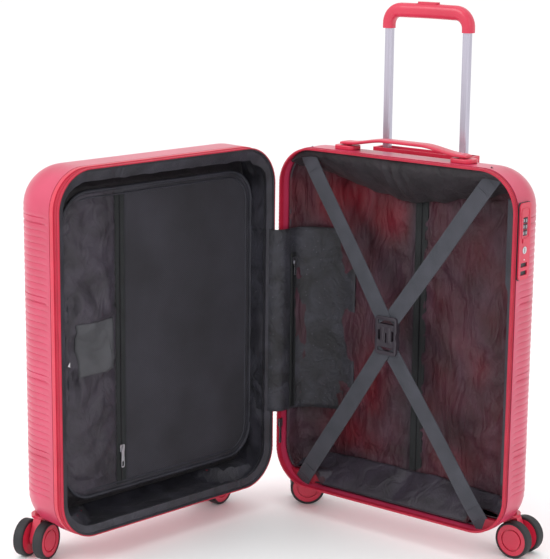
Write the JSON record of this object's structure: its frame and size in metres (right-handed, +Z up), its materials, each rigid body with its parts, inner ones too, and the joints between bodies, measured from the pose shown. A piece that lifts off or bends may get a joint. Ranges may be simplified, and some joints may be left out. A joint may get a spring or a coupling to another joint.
{
  "type": "hard shell suitcase on wheels",
  "caption": "Ribbed hard shell cabin case standing open, with a lined back half and divided lid, telescopic trolley, carry handle and swivel casters.",
  "frame": {"origin": "centre of the standing open case's bounding box, on the floor", "axes": "+Z up, the open back half faces -Y, the open lid faces +X"},
  "size_m": [0.5618, 0.5018, 0.759],
  "materials": {
    "shell_red": "pearl satin",
    "red_plastic": "satin",
    "inner_red": "satin",
    "lining_fabric": "satin weave",
    "divider_fabric": "satin and mesh",
    "webbing": "woven",
    "zip_tape": "woven tape and coil",
    "zip_red": "woven tape and coil",
    "band_red": "woven",
    "black_plastic": "moulded",
    "grey_plastic": "moulded",
    "tube_metal": "anodised satin",
    "steel": "polished",
    "slider_metal": "dark plated",
    "tyre_rubber": "matte"
  },
  "bodies": {
    "back_case": {"back_shell": "shell_red", "back_zip": "zip_red", "back_lining": "lining_fabric", "lining_zips": "zip_tape", "cross_straps": "webbing", "buckle_socket": "black_plastic", "buckle_plug": "black_plastic", "hinge_flap_back": "lining_fabric", "lock_housing": "red_plastic", "trolley_bezel": "grey_plastic", "outer_tubes": "tube_metal", "tube_bracket": "black_plastic", "handle_mounts": "inner_red", "back_caster_mounts": "inner_red", "main_slider": "slider_metal"},
    "lid": {"lid_shell": "shell_red", "lid_band": "band_red", "expansion_gusset": "lining_fabric", "lid_zips": "zip_red", "lid_lining": "lining_fabric", "divider_panel": "divider_fabric", "divider_zip": "zip_tape", "hinge_flap_lid": "lining_fabric", "lid_caster_mounts": "inner_red"},
    "trolley_middle": {"middle_tubes": "tube_metal"},
    "trolley_inner": {"inner_tubes": "tube_metal", "trolley_grip": "red_plastic"},
    "release_button": {"release_button": "grey_plastic"},
    "carry_handle": {"carry_handle": "red_plastic"},
    "lock_dial_1": {"lock_dial_1": "black_plastic"},
    "lock_dial_2": {"lock_dial_2": "black_plastic"},
    "lock_dial_3": {"lock_dial_3": "black_plastic"},
    "lock_button": {"lock_button": "red_plastic"},
    "key_cylinder": {"key_cylinder": "steel"},
    "pocket_slider": {"pocket_slider": "slider_metal"},
    "divider_slider": {"divider_slider": "slider_metal"},
    "caster_1": {"fork_1": "red_plastic", "axle_1": "steel"},
    "wheel_1a": {"hub_1a": "red_plastic", "tyre_1a": "tyre_rubber"},
    "wheel_1b": {"hub_1b": "red_plastic", "tyre_1b": "tyre_rubber"},
    "caster_2": {"fork_2": "red_plastic", "axle_2": "steel"},
    "wheel_2a": {"hub_2a": "red_plastic", "tyre_2a": "tyre_rubber"},
    "wheel_2b": {"hub_2b": "red_plastic", "tyre_2b": "tyre_rubber"},
    "caster_3": {"fork_3": "red_plastic", "axle_3": "steel"},
    "wheel_3a": {"hub_3a": "red_plastic", "tyre_3a": "tyre_rubber"},
    "wheel_3b": {"hub_3b": "red_plastic", "tyre_3b": "tyre_rubber"},
    "caster_4": {"fork_4": "red_plastic", "axle_4": "steel"},
    "wheel_4a": {"hub_4a": "red_plastic", "tyre_4a": "tyre_rubber"},
    "wheel_4b": {"hub_4b": "red_plastic", "tyre_4b": "tyre_rubber"}
  },
  "joints": [
    {"name": "lid_hinge", "type": "hinge", "parent": "back_case", "child": "lid", "pos_m": [-0.1331, 0.1559, 0.295], "axis": [0, 0, 1], "range_deg": [-84, 96]},
    {"name": "trolley_first_stage", "type": "slide", "parent": "trolley_middle", "child": "trolley_inner", "axis": [0, 0, 1], "range_m": [-0.2, 0]},
    {"name": "trolley_second_stage", "type": "slide", "parent": "back_case", "child": "trolley_middle", "axis": [0, 0, 1], "range_m": [0, 0.23]},
    {"name": "release_press", "type": "slide", "parent": "trolley_inner", "child": "release_button", "axis": [0, 0, -1], "range_m": [0, 0.003], "stiffness_N_per_m": 300, "springref_m": -0.002},
    {"name": "carry_handle_pull", "type": "slide", "parent": "back_case", "child": "carry_handle", "axis": [0, 0, 1], "range_m": [0, 0.008], "stiffness_N_per_m": 400, "springref_m": -0.002},
    {"name": "lock_button_press", "type": "slide", "parent": "back_case", "child": "lock_button", "axis": [-1, 0, 0], "range_m": [0, 0.0018], "stiffness_N_per_m": 300, "springref_m": -0.001},
    {"name": "key_turn", "type": "hinge", "parent": "back_case", "child": "key_cylinder", "pos_m": [0.2649, 0.1784, 0.444], "axis": [1, 0, 0], "range_deg": [0, 90]},
    {"name": "pocket_zip_run", "type": "slide", "parent": "back_case", "child": "pocket_slider", "axis": [0, 0, -1], "range_m": [0, 0.19]},
    {"name": "divider_zip_run", "type": "slide", "parent": "lid", "child": "divider_slider", "axis": [0, 0, 1], "range_m": [0, 0.345]},
    {"name": "dial_1_turn", "type": "hinge", "parent": "back_case", "child": "lock_dial_1", "pos_m": [0.2649, 0.1784, 0.4676], "axis": [0, 0, 1], "continuous": true},
    {"name": "dial_2_turn", "type": "hinge", "parent": "back_case", "child": "lock_dial_2", "pos_m": [0.2649, 0.1784, 0.476], "axis": [0, 0, 1], "continuous": true},
    {"name": "dial_3_turn", "type": "hinge", "parent": "back_case", "child": "lock_dial_3", "pos_m": [0.2649, 0.1784, 0.4844], "axis": [0, 0, 1], "continuous": true},
    {"name": "swivel_1", "type": "hinge", "parent": "back_case", "child": "caster_1", "pos_m": [0.2359, 0.2239, 0.06], "axis": [0, 0, 1], "continuous": true},
    {"name": "wheel_1a_spin", "type": "hinge", "parent": "caster_1", "child": "wheel_1a", "pos_m": [0.2549, 0.2239, 0.026], "axis": [0, 1, 0], "continuous": true},
    {"name": "wheel_1b_spin", "type": "hinge", "parent": "caster_1", "child": "wheel_1b", "pos_m": [0.2549, 0.2239, 0.026], "axis": [0, 1, 0], "continuous": true},
    {"name": "swivel_2", "type": "hinge", "parent": "back_case", "child": "caster_2", "pos_m": [-0.0981, 0.2239, 0.06], "axis": [0, 0, 1], "continuous": true},
    {"name": "wheel_2a_spin", "type": "hinge", "parent": "caster_2", "child": "wheel_2a", "pos_m": [-0.11287, 0.21194, 0.026], "axis": [0.6293, -0.7771, 0], "continuous": true},
    {"name": "wheel_2b_spin", "type": "hinge", "parent": "caster_2", "child": "wheel_2b", "pos_m": [-0.11287, 0.21194, 0.026], "axis": [0.6293, -0.7771, 0], "continuous": true},
    {"name": "swivel_3", "type": "hinge", "parent": "lid", "child": "caster_3", "pos_m": [-0.25621, -0.20219, 0.06], "axis": [0, 0, 1], "continuous": true},
    {"name": "wheel_3a_spin", "type": "hinge", "parent": "caster_3", "child": "wheel_3a", "pos_m": [-0.25161, -0.22063, 0.026], "axis": [0.9703, 0.2419, 0], "continuous": true},
    {"name": "wheel_3b_spin", "type": "hinge", "parent": "caster_3", "child": "wheel_3b", "pos_m": [-0.25161, -0.22063, 0.026], "axis": [0.9703, 0.2419, 0], "continuous": true},
    {"name": "swivel_4", "type": "hinge", "parent": "lid", "child": "caster_4", "pos_m": [-0.22129, 0.12998, 0.06], "axis": [0, 0, 1], "continuous": true},
    {"name": "wheel_4a_spin", "type": "hinge", "parent": "caster_4", "child": "wheel_4a", "pos_m": [-0.21997, 0.11102, 0.026], "axis": [0.9976, 0.0698, 0], "continuous": true},
    {"name": "wheel_4b_spin", "type": "hinge", "parent": "caster_4", "child": "wheel_4b", "pos_m": [-0.21997, 0.11102, 0.026], "axis": [0.9976, 0.0698, 0], "continuous": true}
  ]
}
